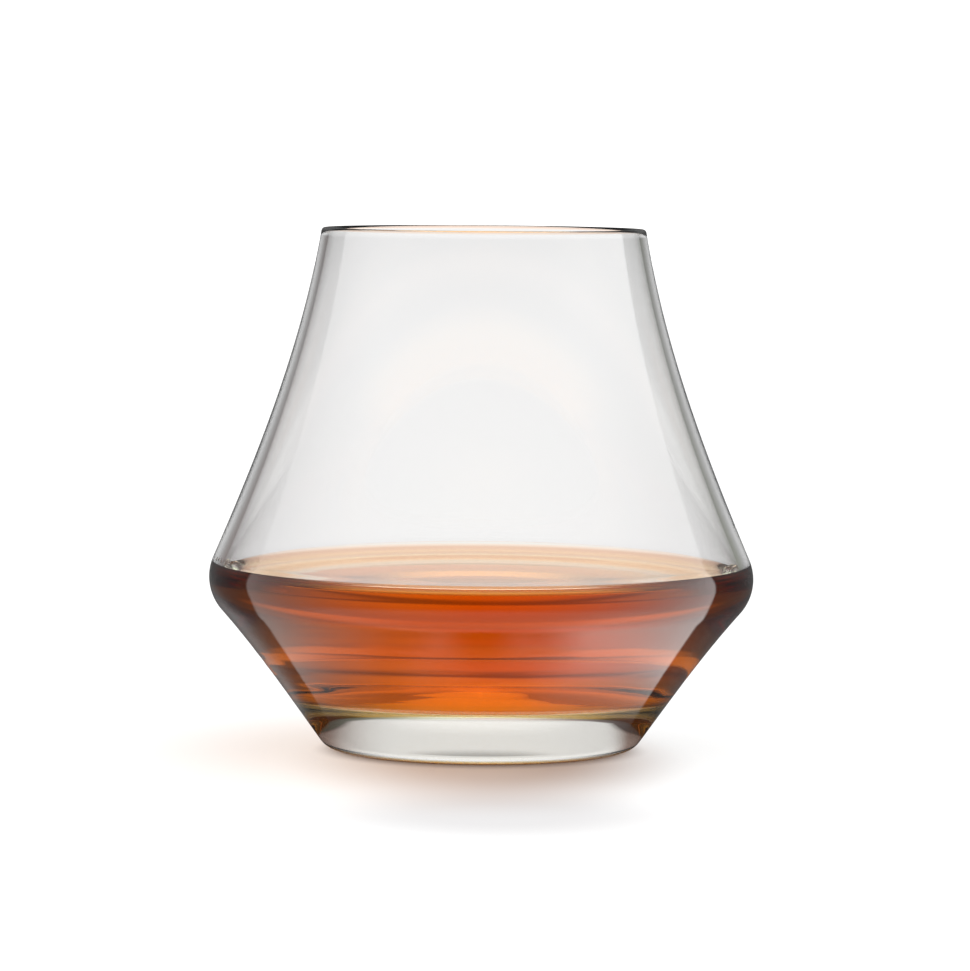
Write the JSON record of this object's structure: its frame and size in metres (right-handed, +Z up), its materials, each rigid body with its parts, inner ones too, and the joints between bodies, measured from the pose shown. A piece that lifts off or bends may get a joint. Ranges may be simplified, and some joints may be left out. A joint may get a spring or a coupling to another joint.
{
  "type": "whiskey tumbler",
  "caption": "Round-bellied nosing tumbler: flared concave wall, rounded belly, cone down to a thick clear foot, part filled with amber whisky.",
  "frame": {"origin": "on the axis of the glass, on the surface that its foot ring stands on", "axes": "+Z up along the axis of the glass; the shape is the same all round it, so +X and +Y are free"},
  "size_m": [0.09, 0.09, 0.086],
  "materials": {
    "clear_glass": "polished",
    "amber_whisky": "polished"
  },
  "bodies": {
    "tumbler": {"tumbler_glass": "clear_glass"},
    "whisky": {"whisky": "amber_whisky"}
  },
  "joints": [
    {"name": "whisky_swirl", "type": "hinge", "parent": "tumbler", "child": "whisky", "pos_m": [0, 0, 0], "axis": [0, 0, 1], "continuous": true}
  ]
}
